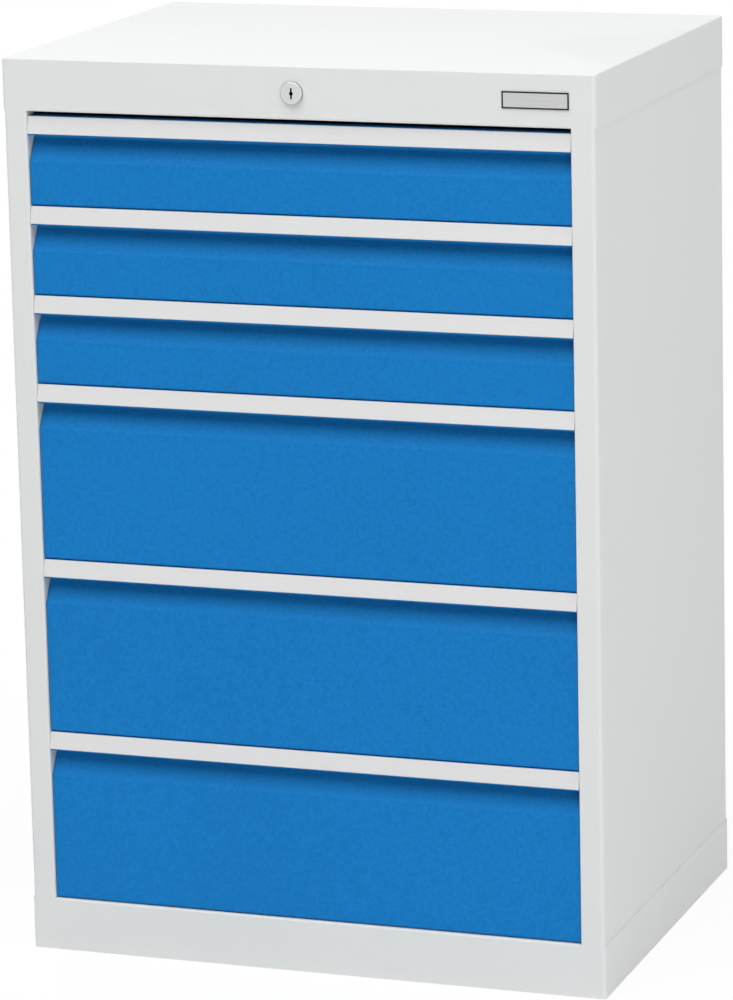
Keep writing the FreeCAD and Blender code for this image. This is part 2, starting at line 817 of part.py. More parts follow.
def make_slide_parts():
    parts = {
        "outer_rails": make_outer_rail(),
        "middle_rails": make_channel("middle"),
        "inner_rails": make_inner_rail(),
        "outer_ball_cages": make_cage("outer_cage", "rail_skin", OUTER_HALF),
        "inner_ball_cages": make_cage("inner_cage", "(rail_step + rail_skin)", MIDDLE_HALF),
    }
    return {name: (part, mirrored(name + "_twin", part)) for name, part in parts.items()}


def hung(name, pieces, level):
    """Slide parts brought up to a drawer's level."""
    return place(group(name, list(pieces)), z=level)


# Drawers

def make_tray(number):
    """Open box with a turned-in rim and a catch for the locking bar on its rear wall."""
    name = f"drawer_{number}_tray"
    low_z = f"{row_base(number)} + tray_lift"
    height = f"{row_top(number)} - tray_headroom - ({low_z})"
    outer = wide_block(name + "_outside", TRAY_HALF, TRAY_FRONT, low_z, TRAY_DEPTH, height)
    room = wide_block(
        name + "_room", f"({TRAY_HALF} - tray_skin)", f"{TRAY_FRONT} + tray_skin",
        f"{low_z} + tray_skin", f"{TRAY_DEPTH} - 2*tray_skin", f"{height} - 2*tray_skin",
    )
    mouth = wide_block(
        name + "_mouth", f"({TRAY_HALF} - tray_rim)", f"{TRAY_FRONT} + tray_rim",
        f"{low_z} + tray_skin", f"{TRAY_DEPTH} - 2*tray_rim", height,
    )
    box = cut(name + "_box", outer, [room, mouth])
    catch_level = f"{row_base(number)} + catch_height"
    tongue = wide_block(
        name + "_tongue", "catch_width/2", f"{TRAY_REAR} - tray_skin", catch_level,
        "catch_reach + tray_skin", "tray_skin",
    )
    hook = wide_block(
        name + "_hook", "catch_width/2", f"{TRAY_REAR} + catch_reach - tray_skin",
        f"{catch_level} - catch_lip", "tray_skin", "catch_lip + tray_skin",
    )
    return joined(name, [box, tongue, hook])


GRIP_FOOT = "(top_drop + grip_drop + grip_height)"
GRIP_SLOPE = "(face_setback/grip_height)"
GRIP_STRETCH = f"sqrt(1 + {GRIP_SLOPE}^2)"


def grip_line(drop, behind):
    """How far back a line parallel to the tilted grip lies, at a drop below the row's top."""
    return f"{FRONT} + {GRIP_SLOPE}*({GRIP_FOOT} - ({drop})) + ({behind})*{GRIP_STRETCH}"


def front_foot(number):
    """The lower edge of a drawer front, just over the front or the sill below it."""
    if number == max(DRAWERS):
        return f"{row_base(number)} + foot_gap"
    return f"{row_base(number)} - top_drop + foot_gap"


def make_front(number):
    """Drawer front of one folded sheet: foot, face, slanted finger recess, top and grip lip."""
    name = f"drawer_{number}_front"
    top = row_top(number)
    foot = front_foot(number)
    face = f"{FRONT} + face_setback"
    recess = f"{FRONT} + recess_depth"
    ceiling_drop = "top_drop + front_skin"
    lip_foot_drop = f"{GRIP_FOOT} + lip_drop"
    behind = "grip_skin + front_skin"
    points = [
        (f"{recess} + front_skin", foot),
        (face, foot, "foot_radius + front_skin"),
        (face, f"{top} - recess_foot", "crease_radius"),
        (recess, f"{top} - recess_head", "crease_radius"),
        (recess, f"{top} - ({ceiling_drop})", "bend_radius"),
        (grip_line(ceiling_drop, behind), f"{top} - ({ceiling_drop})", "bend_radius"),
        (grip_line(lip_foot_drop, behind), f"{top} - ({lip_foot_drop})"),
    ]
    half = f"({OPENING_HALF} - front_gap)"
    return folded(name, "YZ", f"-{half}", points, "front_skin", f"2*{half}")


def make_grip(number):
    """Grey strip along the drawer's lip, tilted out towards its lower edge."""
    name = f"drawer_{number}_grip_strip"
    top = row_top(number)
    head_drop = "(top_drop + grip_drop)"
    outline = [
        (grip_line(GRIP_FOOT, "0"), f"{top} - {GRIP_FOOT}", "grip_round"),
        (grip_line(GRIP_FOOT, "grip_skin"), f"{top} - {GRIP_FOOT}"),
        (grip_line(head_drop, "grip_skin"), f"{top} - {head_drop}"),
        (grip_line(head_drop, "0"), f"{top} - {head_drop}", "grip_round"),
    ]
    body = new_body(name)
    section = body_sketch(body, name + "_section", "YZ_Plane", outline)
    pad = body.newObject("PartDesign::Pad", name + "_pad")
    pad.Profile = section
    pad.Midplane = True
    bind(pad, {"Length": f"2*({OPENING_HALF} - grip_end_gap)"})
    body.Tip = pad
    return body


# Lock and its bar

def make_lock_housing():
    """Rosette in front of the hood's skirt and the barrel behind it, bored for the core."""
    face = f"{FRONT} - lock_reach"
    rosette = rod("rosette", ("0", face, LOCK_LEVEL), "rosette_size/2", "lock_reach")
    barrel = rod("barrel", ("0", f"{FRONT} - lock_reach/2", LOCK_LEVEL), "barrel_size/2",
                 "barrel_length + lock_reach/2")
    solid = joined("lock_solid", [rosette, barrel])
    face_level = value(face)
    soft = rounded("lock_soft", solid, [
        ("rosette_round", lambda edge: lies_at(edge, "Y", face_level)),
    ])
    bore = rod("lock_bore", ("0", f"{face} - core_tail", LOCK_LEVEL), "core_size/2 + core_slack",
               "barrel_length + lock_reach + 2*core_tail")
    return cut("lock_housing", soft, [bore])


def make_lock_nut():
    """Six-sided nut that clamps the lock against the skirt."""
    prism = doc.addObject("Part::Prism", "nut_outside")
    prism.Polygon = 6
    prism.Placement.Rotation = ROD_TURN["Y"]
    bind(prism, {"Circumradius": "nut_size/2", "Height": "nut_height"})
    place(prism, "0", f"{FRONT} + cover_skin", LOCK_LEVEL)
    bore = rod("nut_bore", ("0", FRONT, LOCK_LEVEL), "barrel_size/2 + nut_slack", "2*nut_height")
    return cut("lock_nut", prism, [bore])


def make_lock_core():
    """Turning core with its keyhole: an upright slot with a round middle."""
    face = f"{FRONT} - lock_reach + core_inset"
    length = "lock_reach - core_inset + barrel_length + core_tail"
    solid = rod("core_solid", ("0", face, LOCK_LEVEL), "core_size/2", length)
    slot = block(
        "keyhole_slot",
        ("-keyhole_width/2", f"{face} - core_inset", f"{LOCK_LEVEL} - keyhole_height/2"),
        ("keyhole_width", "keyhole_depth + core_inset", "keyhole_height"),
    )
    middle = rod(
        "keyhole_middle", ("0", f"{face} - core_inset", LOCK_LEVEL),
        "keyhole_bore/2", "keyhole_depth + core_inset",
    )
    return cut("lock_core", solid, [slot, middle])


def make_lock_shaft():
    """Long shaft from the core to the rear, with a crank disc and pin that lift the bar."""
    start = f"{FRONT} + barrel_length + core_tail"
    end = f"{CRANK_FRONT} + crank_thick/2"
    shaft = rod("shaft_rod", ("0", start, LOCK_LEVEL), "shaft_size/2", f"{end} - ({start})")
    disc = rod("crank_disc", ("0", CRANK_FRONT, LOCK_LEVEL), "crank_radius + crank_rim", "crank_thick")
    pin = rod(
        "crank_pin",
        (f"-{CRANK_SHIFT}", end, f"{LOCK_LEVEL} - {CRANK_SHIFT}"),
        "pin_size/2", "crank_thick/2 + 2*pin_spare + bar_skin",
    )
    return joined("lock_shaft", [shaft, disc, pin])


def make_shaft_bracket():
    """Angle under the hood that carries the rear end of the lock shaft."""
    y = f"{CRANK_FRONT} - bracket_gap - bracket_skin"
    top = f"{HOOD_TOP} - cover_skin"
    foot = f"{LOCK_LEVEL} - bracket_width/2"
    plate = wide_block("bracket_plate", "bracket_width/2", y, foot, "bracket_skin", f"{top} - ({foot})")
    flange = wide_block(
        "bracket_flange", "bracket_width/2", f"{y} - bracket_foot", f"{top} - bracket_skin",
        "bracket_foot + bracket_skin", "bracket_skin",
    )
    bore = rod(
        "bracket_bore", ("0", f"{y} - bracket_skin", LOCK_LEVEL),
        "shaft_size/2 + shaft_slack", "3*bracket_skin",
    )
    return cut("shaft_bracket", joined("bracket_angle", [plate, flange]), [bore])


def claw_top(number):
    """Top of a claw at rest, clear under the catch of its drawer."""
    return f"{row_base(number)} + catch_height - catch_lip - claw_clear"


def make_lock_bar():
    """Upright bar with a claw for each drawer and a slot for the crank pin."""
    low = f"{claw_top(max(DRAWERS))} - claw_height - bar_tail"
    head = f"{LOCK_LEVEL} - {CRANK_SHIFT} + bar_head"
    strip = wide_block("bar_strip", "bar_width/2", BAR_FRONT, low, "bar_skin", f"{head} - ({low})")
    pieces = [strip]
    lip_front = f"{TRAY_REAR} + catch_reach - tray_skin - claw_play - bar_skin"
    for number in DRAWERS:
        top = claw_top(number)
        arm = wide_block(
            f"claw_arm_{number}", "claw_width/2", lip_front, f"{top} - claw_height",
            f"{BAR_FRONT} - ({lip_front}) + bar_skin/2", "bar_skin",
        )
        lip = wide_block(
            f"claw_lip_{number}", "claw_width/2", lip_front, f"{top} - claw_height",
            "bar_skin", "claw_height",
        )
        pieces.extend([arm, lip])
    slot_left = "-crank_radius - pin_size/2 - pin_slack"
    slot_right = f"-{CRANK_SHIFT} + pin_size/2 + pin_slack"
    slot = block(
        "bar_slot",
        (slot_left, f"{BAR_FRONT} - bar_skin", f"{LOCK_LEVEL} - {CRANK_SHIFT} - pin_size/2 - pin_slack"),
        (f"{slot_right} - ({slot_left})", "3*bar_skin", "pin_size + 2*pin_slack"),
    )
    return cut("lock_bar", joined("bar_whole", pieces), [slot])


def make_bar_guide(number):
    """Guide block on the back panel: it holds the bar's edges and lets the claws pass."""
    name = f"guide_{number}"
    low_z = f"{row_base(number)} + guide_rise"
    front = f"{BAR_FRONT} - guide_slack - guide_lip"
    solid = wide_block(
        name + "_solid", "guide_width/2", front, low_z, f"{BACK_PANEL} - ({front})", "guide_height",
    )
    channel = wide_block(
        name + "_channel", "(bar_width/2 + guide_slack)", f"{BAR_FRONT} - guide_slack",
        f"{low_z} - guide_rise", "bar_skin + 2*guide_slack", "guide_height + 2*guide_rise",
    )
    window = wide_block(
        name + "_window", "(bar_width/2 - guide_grip)", f"{front} - guide_lip",
        f"{low_z} - guide_rise", "3*guide_lip", "guide_height + 2*guide_rise",
    )
    return cut(name, solid, [channel, window])


def make_badge():
    """Bare badge plate with a raised rim."""
    low_x = "width/2 - badge_inset - badge_width"
    low_z = f"{LOCK_LEVEL} - badge_height/2"
    plate = block(
        "badge_outside", (low_x, f"{FRONT} - badge_skin", low_z),
        ("badge_width", "badge_skin", "badge_height"),
    )
    field = block(
        "badge_field",
        (f"{low_x} + badge_rim", f"{FRONT} - badge_skin - badge_relief", f"{low_z} + badge_rim"),
        ("badge_width - 2*badge_rim", "2*badge_relief", "badge_height - 2*badge_rim"),
    )
    return cut("badge_plate", plate, [field])


# The nodes of the cabinet

nodes = {}
nodes["hood"] = make_hood()
nodes["side_panel_right"] = make_side_panel()
nodes["side_panel_left"] = mirrored("side_panel_left", nodes["side_panel_right"])
nodes["back_panel"] = make_back_panel()
nodes["back_rivets"] = make_rivets()
nodes["plinth"] = make_plinth()
nodes["floor_plate"] = make_floor_plate()
nodes["slotted_posts"] = make_posts()

slide = make_slide_parts()
for side, index in (("right", 0), ("left", 1)):
    rails = [
        hung(f"outer_rail_{side}_{number}", [slide["outer_rails"][index]], rail_level(number))
        for number in DRAWERS
    ]
    nodes[f"cabinet_rails_{side}"] = group(f"cabinet_rails_{side}", rails)

for number in DRAWERS:
    nodes[f"drawer_{number}_tray"] = make_tray(number)
    nodes[f"drawer_{number}_front"] = make_front(number)
    nodes[f"drawer_{number}_grip_strip"] = make_grip(number)
    for kind in ("inner_rails", "middle_rails", "outer_ball_cages", "inner_ball_cages"):
        name = f"drawer_{number}_{kind}"
        nodes[name] = hung(name, slide[kind], rail_level(number))

nodes["lock_housing"] = make_lock_housing()
nodes["lock_nut"] = make_lock_nut()
nodes["lock_core"] = make_lock_core()
nodes["lock_shaft"] = make_lock_shaft()
nodes["shaft_bracket"] = make_shaft_bracket()
nodes["lock_bar"] = make_lock_bar()
nodes["lock_bar_guides"] = group("lock_bar_guides", [make_bar_guide(number) for number in GUIDED_DRAWERS])
nodes["badge_plate"] = make_badge()

doc.recompute()
for thing in doc.Objects:
    if "Invalid" in thing.State or "Error" in thing.State:
        raise RuntimeError(f"{thing.Name} did not build: {thing.State}")
os.makedirs("parts", exist_ok=True)
for name, node in nodes.items():
    node.Label = name
    shape = node.Shape
    if shape.isNull() or not shape.isValid() or not shape.Solids:
        raise RuntimeError(f"{name} has no valid solid")
for name, node in nodes.items():
    node.Shape.exportStep(f"parts/{name}.step")
    box = node.Shape.BoundBox
    print(
        f"{name}: {len(node.Shape.Solids)} solids, {node.Shape.Volume/1000:.1f} cm3,",
        f"X {box.XMin:.1f} to {box.XMax:.1f}, Y {box.YMin:.1f} to {box.YMax:.1f},",
        f"Z {box.ZMin:.1f} to {box.ZMax:.1f}",
    )
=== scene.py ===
"""Looks of a six-drawer steel cabinet: finishes, lamps, floor and camera."""
import json

import bmesh
import bpy
from mathutils import Matrix, Vector


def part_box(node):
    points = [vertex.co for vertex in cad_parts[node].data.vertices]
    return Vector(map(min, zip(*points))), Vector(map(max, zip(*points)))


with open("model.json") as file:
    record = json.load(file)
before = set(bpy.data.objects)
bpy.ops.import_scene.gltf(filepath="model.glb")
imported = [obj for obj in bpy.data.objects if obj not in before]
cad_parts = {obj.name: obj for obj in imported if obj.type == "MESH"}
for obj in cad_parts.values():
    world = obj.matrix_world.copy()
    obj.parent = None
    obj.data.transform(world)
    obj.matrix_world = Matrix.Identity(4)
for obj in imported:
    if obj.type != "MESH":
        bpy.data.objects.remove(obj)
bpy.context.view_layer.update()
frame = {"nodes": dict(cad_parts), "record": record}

# Camera, solved from the cabinet's outline in the photograph: places in metres, lens in millimetres

VIEW_PLACE = (1.800175, -4.978318, 1.711158)
VIEW_RIGHT = (0.947737, 0.318573, -0.017507)
VIEW_UP = (-0.051032, 0.205526, 0.977320)
VIEW_BACK = (0.314946, -0.925349, 0.211041)
VIEW_SHIFT = (-0.0995, -0.072)
VIEW_REACH = 200.0
LENS = 170.994
SENSOR = 36.0

# Lamps: place, point that the lamp faces, width and height in metres, power in watts

LAMPS = {
    "ceiling_softbox": ((-0.6, -3.4, 5.5), (-0.6, -3.4, 0.0), (7.0, 6.4), 440.0),
    "top_softbox": ((-0.3, -1.9, 5.5), (-0.3, -1.9, 0.0), (5.0, 2.5), 67.0),
    "right_softbox": ((5.4, -0.3, 3.6), (0.0, 0.0, 0.55), (4.0, 4.0), 152.0),
    "back_top_softbox": ((0.0, 1.8, 5.0), (0.0, 1.8, 0.0), (5.0, 3.0), 38.0),
    "low_front_strip": ((2.4, -4.4, 0.45), (0.0, -0.25, 0.1), (3.6, 0.8), 53.0),
    "rear_softbox": ((-4.6, 3.6, 1.5), (0.0, 0.0, 0.5), (3.4, 2.2), 190.0),
}

# Room: what camera and reflections see behind the cabinet, and the grey that lights it

STUDIO_WHITE = (1.0, 1.0, 1.0, 1.0)
ROOM_GREY = (0.03, 0.03, 0.03, 1.0)

# Floor, in metres: within the near radius it shows this share of plain white, past the far one all

FLOOR_HALF_SIZE = 40.0
FLOOR_TONE = 0.84
FLOOR_ROUGHNESS = 0.9
NEAR_WHITE = 0.9
NEAR_RADIUS = 0.5
FAR_RADIUS = 1.3

# Patterns: noise scales are in cells per metre, and noise values mostly lie from low to high

DRIFT_SCALE = 3.5
MOTTLE_SCALE = 260.0
DRIFT_DETAIL = 3.0
MOTTLE_DETAIL = 4.0
GRAIN_DETAIL = 2.0
STREAK_DETAIL = 3.0
NOISE_LOW = 0.25
NOISE_HIGH = 0.75
COAT_GLOSS_SWING = 0.05
METAL_GLOSS_SWING = 0.06

# Streaks of rolled metal: noise coordinates shrink along the axis that the streaks follow

ALONG_X = (0.02, 1.0, 1.0)
ALONG_Y = (1.0, 0.04, 1.0)
ALONG_Z = (1.0, 1.0, 0.04)

# Depth of the bump on each kind of surface, in metres

PEEL_RELIEF = 0.00004
PLASTIC_RELIEF = 0.00003
ROLLED_RELIEF = 0.00001
BRUSHED_RELIEF = 0.000005
PLATED_RELIEF = 0.000003
POLISHED_RELIEF = 0.000002

# Marks on single parts, in metres: where they start, and half the width of their soft edges

KEYHOLE_DEPTH = 0.0005
CORE_WALL = 0.0008
ROSETTE_RIM = 0.0008
BADGE_BORDER = 0.0017
SHARP_EDGE = 0.0001
RIM_EDGE = 0.0003
# Painted shade, near black, inside the keyhole's recess
KEYHOLE_PAINTED_SHADE = (0.004, 0.004, 0.004, 1.0)
# Painted shade on the lock rosette's rounded rim
RIM_PAINTED_SHADE = (0.40, 0.40, 0.41, 1.0)
BORDER_GREY = (0.035, 0.037, 0.037, 1.0)

# Kinds of group socket, and a Mix node's first input, second input and result by what it mixes

COLOUR = "NodeSocketColor"
NUMBER = "NodeSocketFloat"
VECTOR = "NodeSocketVector"
PATTERN_OUTPUTS = {"Colour": COLOUR, "Roughness": NUMBER, "Height": NUMBER}
MIX_SOCKETS = {"RGBA": (6, 7, 2), "FLOAT": (2, 3, 0)}
WITHOUT_Y = (1.0, 0.0, 1.0)


def feed(tree, socket, source):
    """Give an input socket a plain value, or link another node's output to it."""
    if isinstance(source, bpy.types.NodeSocket):
        tree.links.new(source, socket)
    else:
        socket.default_value = source


def add_node(tree, kind, inputs=None, **settings):
    """A shader node with its settings, and its inputs as plain values or other nodes' outputs."""
    node = tree.nodes.new("ShaderNode" + kind)
    for name, value in settings.items():
        setattr(node, name, value)
    for label, source in (inputs or {}).items():
        feed(tree, node.inputs[label], source)
    return node


def compute(tree, operation, *terms, clamp=False):
    """The result of a Math node."""
    node = add_node(tree, "Math", dict(enumerate(terms)), operation=operation, use_clamp=clamp)
    return node.outputs[0]


def compute_vector(tree, operation, *terms):
    """The result of a Vector Math node: a number for a length, and otherwise a vector."""
    node = add_node(tree, "VectorMath", dict(enumerate(terms)), operation=operation)
    return node.outputs["Value" if operation == "LENGTH" else "Vector"]


def mixed(tree, kind, mask, first, second):
    """Two colours (RGBA) or two numbers (FLOAT), mixed by a mask."""
    start, end, result = MIX_SOCKETS[kind]
    node = add_node(tree, "Mix", {0: mask, start: first, end: second}, data_type=kind)
    return node.outputs[result]


def object_place(tree):
    """A point's place in its part's own coordinates, which move with the part."""
    return add_node(tree, "TexCoord").outputs["Object"]


def seen_rays(tree):
    """A mask that is 1 for camera, glossy and transmission rays."""
    rays = add_node(tree, "LightPath").outputs
    direct = compute(tree, "MAXIMUM", rays["Is Camera Ray"], rays["Is Glossy Ray"])
    return compute(tree, "MAXIMUM", direct, rays["Is Transmission Ray"])


def set_camera():
    """The photograph's view."""
    camera = bpy.data.objects.new("camera", bpy.data.cameras.new("camera"))
    bpy.context.scene.collection.objects.link(camera)
    turn = Matrix((VIEW_RIGHT, VIEW_UP, VIEW_BACK)).transposed()
    camera.matrix_world = Matrix.Translation(VIEW_PLACE) @ turn.to_4x4()
    camera.data.lens = LENS
    camera.data.sensor_width = SENSOR
    camera.data.shift_x, camera.data.shift_y = VIEW_SHIFT
    camera.data.clip_end = VIEW_REACH
    bpy.context.scene.camera = camera


def add_lamp(name, place, target, size, power):
    """A soft rectangular lamp that faces a point."""
    lamp = bpy.data.objects.new(name, bpy.data.lights.new(name, "AREA"))
    bpy.context.scene.collection.objects.link(lamp)
    lamp.data.shape = "RECTANGLE"
    lamp.data.size, lamp.data.size_y = size
    lamp.data.energy = power
    lamp.location = place
    lamp.rotation_euler = (Vector(target) - Vector(place)).to_track_quat("-Z", "Y").to_euler()


def set_world():
    """A dim room that shows as white behind the cabinet."""
    world = bpy.data.worlds.new("studio")
    world.use_nodes = True
    tree = world.node_tree
    colour = mixed(tree, "RGBA", seen_rays(tree), ROOM_GREY, STUDIO_WHITE)
    feed(tree, tree.nodes["Background"].inputs["Color"], colour)
    bpy.context.scene.world = world


def make_floor_paper():
    """Pale matt paper that keeps the cabinet's shadow and turns plain white away from it."""
    material = bpy.data.materials.new("floor_paper")
    material.use_nodes = True
    tree = material.node_tree
    paper = tree.nodes["Principled BSDF"]
    paper.inputs["Base Color"].default_value = (FLOOR_TONE, FLOOR_TONE, FLOOR_TONE, 1.0)
    paper.inputs["Roughness"].default_value = FLOOR_ROUGHNESS
    paper.inputs["Specular IOR Level"].default_value = 0.0
    away = compute_vector(tree, "LENGTH", object_place(tree))
    share = add_node(
        tree, "MapRange",
        {"Value": away, "From Min": NEAR_RADIUS, "From Max": FAR_RADIUS, "To Min": NEAR_WHITE},
        interpolation_type="SMOOTHSTEP",
    )
    white_share = compute(tree, "MULTIPLY", seen_rays(tree), share.outputs[0])
    white = add_node(tree, "Emission")
    blend = add_node(tree, "MixShader", {0: white_share, 1: paper.outputs[0], 2: white.outputs[0]})
    feed(tree, tree.nodes["Material Output"].inputs["Surface"], blend.outputs[0])
    return material


def add_floor():
    """A wide plain floor at the cabinet's foot."""
    shape = bmesh.new()
    bmesh.ops.create_grid(shape, x_segments=1, y_segments=1, size=FLOOR_HALF_SIZE)
    mesh = bpy.data.meshes.new("floor")
    shape.to_mesh(mesh)
    shape.free()
    mesh.materials.append(make_floor_paper())
    floor = bpy.data.objects.new("floor", mesh)
    bpy.context.scene.collection.objects.link(floor)


# Shader groups that more than one finish uses

def new_group(name, inputs, outputs):
    """A shader group with named sockets: its tree, what it is given and what it puts out."""
    tree = bpy.data.node_groups.new(name, "ShaderNodeTree")
    for label, (kind, start) in inputs.items():
        socket = tree.interface.new_socket(label, in_out="INPUT", socket_type=kind)
        socket.default_value = start
    for label, kind in outputs.items():
        tree.interface.new_socket(label, in_out="OUTPUT", socket_type=kind)
    given = tree.nodes.new("NodeGroupInput").outputs
    result = tree.nodes.new("NodeGroupOutput").inputs
    return tree, given, result


def object_noise(tree, scale, detail, stretch=None):
    """Noise that stays on the part, drawn out along an axis where stretch is a small share."""
    place = object_place(tree)
    if stretch is not None:
        place = compute_vector(tree, "MULTIPLY", place, stretch)
    noise = add_node(tree, "TexNoise", {"Vector": place, "Scale": scale, "Detail": detail})
    return noise.outputs["Fac"]


def spread(tree, noise, low, high):
    """A noise value spread over a range of its own."""
    node = add_node(
        tree, "MapRange",
        {"Value": noise, "From Min": NOISE_LOW, "From Max": NOISE_HIGH, "To Min": low, "To Max": high},
    )
    return node.outputs[0]


def around_one(tree, noise, swing):
    """A factor that a noise swings either way of 1."""
    low = compute(tree, "SUBTRACT", 1.0, swing)
    high = compute(tree, "ADD", 1.0, swing)
    return spread(tree, noise, low, high)


def uneven_gloss(tree, roughness, noise, swing):
    """A roughness that a noise swings either way."""
    return compute(tree, "ADD", spread(tree, noise, -swing, swing), roughness)


def shaded(tree, colour, factor):
    """A colour made lighter or darker by a factor."""
    node = add_node(tree, "VectorMath", {0: colour, "Scale": factor}, operation="SCALE")
    return node.outputs[0]


def make_powder_group():
    """Powder coat: orange peel, a slow drift of tone and gloss, and a fine mottle."""
    tree, given, result = new_group(
        "powder_coat",
        {
            "Colour": (COLOUR, (0.7, 0.7, 0.7, 1.0)),
            "Grain": (NUMBER, 700.0),
            "Drift": (NUMBER, 0.02),
            "Mottle": (NUMBER, 0.0),
            "Roughness": (NUMBER, 0.45),
        },
        PATTERN_OUTPUTS,
    )
    cloud = object_noise(tree, DRIFT_SCALE, DRIFT_DETAIL)
    tone = around_one(tree, cloud, given["Drift"])
    speckle = spread(tree, object_noise(tree, MOTTLE_SCALE, MOTTLE_DETAIL), -1.0, 1.0)
    mottled_tone = compute(tree, "MULTIPLY_ADD", speckle, given["Mottle"], tone)
    gloss = uneven_gloss(tree, given["Roughness"], cloud, COAT_GLOSS_SWING)
    feed(tree, result["Colour"], shaded(tree, given["Colour"], mottled_tone))
    feed(tree, result["Roughness"], gloss)
    feed(tree, result["Height"], object_noise(tree, given["Grain"], GRAIN_DETAIL))
    return tree


def make_rolled_group():
    """Rolled or drawn metal: streaks along one direction in tone, gloss and height."""
    tree, given, result = new_group(
        "rolled_metal",
        {
            "Colour": (COLOUR, (0.7, 0.7, 0.7, 1.0)),
            "Streaks": (NUMBER, 900.0),
            "Contrast": (NUMBER, 0.08),
            "Roughness": (NUMBER, 0.3),
            "Stretch": (VECTOR, (1.0, 1.0, 1.0)),
        },
        PATTERN_OUTPUTS,
    )
    streak = object_noise(tree, given["Streaks"], STREAK_DETAIL, given["Stretch"])
    tone = around_one(tree, streak, given["Contrast"])
    gloss = uneven_gloss(tree, given["Roughness"], streak, METAL_GLOSS_SWING)
    feed(tree, result["Colour"], shaded(tree, given["Colour"], tone))
    feed(tree, result["Roughness"], gloss)
    feed(tree, result["Height"], streak)
    return tree


def make_zone_group():
    """How far a point lies outside a box seen along Y, from the centre's Y line, and behind it."""
    tree, given, result = new_group(
        "zone",
        {"Centre": (VECTOR, (0.0, 0.0, 0.0)), "Half size": (VECTOR, (0.0, 0.0, 0.0))},
        {"Outside box": NUMBER, "From axis": NUMBER, "Behind": NUMBER},
    )
    away = compute_vector(tree, "SUBTRACT", object_place(tree), given["Centre"])
    distance = compute_vector(tree, "ABSOLUTE", away)
    excess = compute_vector(tree, "SUBTRACT", distance, given["Half size"])
    over = add_node(tree, "SeparateXYZ", {0: excess}).outputs
    across = compute_vector(tree, "MULTIPLY", away, WITHOUT_Y)
    along = add_node(tree, "SeparateXYZ", {0: away}).outputs
    feed(tree, result["Outside box"], compute(tree, "MAXIMUM", over["X"], over["Z"]))
    feed(tree, result["From axis"], compute_vector(tree, "LENGTH", across))
    feed(tree, result["Behind"], along["Y"])
    return tree


# Finishes of the slots

def new_finish(name, group, pattern, gloss, relief):
    """A material whose shader takes its colour, roughness and bump from a pattern group."""
    material = bpy.data.materials.new(name)
    material.use_nodes = True
    tree = material.node_tree
    shader = tree.nodes["Principled BSDF"]
    for label, value in gloss.items():
        shader.inputs[label].default_value = value
    effect = add_node(tree, "Group", pattern, node_tree=group).outputs
    bump = add_node(tree, "Bump", {"Strength": 1.0, "Distance": relief, "Height": effect["Height"]})
    feed(tree, shader.inputs["Normal"], bump.outputs[0])
    feed(tree, shader.inputs["Base Color"], effect["Colour"])
    feed(tree, shader.inputs["Roughness"], effect["Roughness"])
    return material


def cabinet_grey(powder):
    """Light grey coat of the body, nearly even in tone."""
    pattern = {"Colour": (0.644, 0.658, 0.651, 1.0), "Grain": 650.0, "Drift": 0.012, "Roughness": 0.5}
    return new_finish("cabinet_grey", powder, pattern, {"Specular IOR Level": 0.25}, PEEL_RELIEF)


def drawer_blue(powder):
    """Matt blue coat of the fronts, finely mottled."""
    pattern = {
        "Colour": (0.0090, 0.171, 0.468, 1.0), "Grain": 650.0, "Drift": 0.03, "Mottle": 0.11,
        "Roughness": 0.5,
    }
    return new_finish("drawer_blue", powder, pattern, {"Specular IOR Level": 0.04}, PEEL_RELIEF)


def tray_grey(powder):
    """Grey coat of the drawer trays."""
    pattern = {"Colour": (0.60, 0.615, 0.61, 1.0), "Grain": 500.0, "Drift": 0.02, "Roughness": 0.5}
    return new_finish("tray_grey", powder, pattern, {"Specular IOR Level": 0.35}, PEEL_RELIEF)


def guide_plastic(powder):
    """Black moulded plastic of the bar's guides, with a fine grain."""
    pattern = {"Colour": (0.02, 0.02, 0.021, 1.0), "Grain": 900.0, "Drift": 0.1, "Roughness": 0.5}
    return new_finish("guide_plastic", powder, pattern, {"Specular IOR Level": 0.4}, PLASTIC_RELIEF)


def grip_grey(rolled):
    """Light grey grip strips, faintly drawn along the front."""
    pattern = {
        "Colour": (0.622, 0.622, 0.622, 1.0), "Streaks": 1500.0, "Contrast": 0.02, "Roughness": 0.42,
        "Stretch": ALONG_X,
    }
    return new_finish("grip_grey", rolled, pattern, {"Specular IOR Level": 0.4}, ROLLED_RELIEF)


def slide_steel(rolled):
    """Bright plated rails, rolled along their length."""
    pattern = {
        "Colour": (0.66, 0.68, 0.70, 1.0), "Streaks": 800.0, "Contrast": 0.06, "Roughness": 0.3,
        "Stretch": ALONG_Y,
    }
    return new_finish("slide_steel", rolled, pattern, {"Metallic": 1.0}, ROLLED_RELIEF)


def ball_steel(rolled):
    """Polished balls and their cages."""
    pattern = {"Colour": (0.75, 0.75, 0.74, 1.0), "Streaks": 300.0, "Contrast": 0.03, "Roughness": 0.16}
    return new_finish("ball_steel", rolled, pattern, {"Metallic": 1.0}, POLISHED_RELIEF)


def zinc_steel(rolled):
    """Zinc plate of posts, locking bar, shaft and bracket, with cloudy upright streaks."""
    pattern = {
        "Colour": (0.60, 0.61, 0.62, 1.0), "Streaks": 120.0, "Contrast": 0.16, "Roughness": 0.42,
        "Stretch": ALONG_Z,
    }
    return new_finish("zinc_steel", rolled, pattern, {"Metallic": 1.0}, ROLLED_RELIEF)


def lock_metal(rolled):
    """Satin nickel of the lock."""
    pattern = {"Colour": (0.63, 0.637, 0.64, 1.0), "Streaks": 500.0, "Contrast": 0.04, "Roughness": 0.34}
    return new_finish("lock_metal", rolled, pattern, {"Metallic": 1.0}, PLATED_RELIEF)


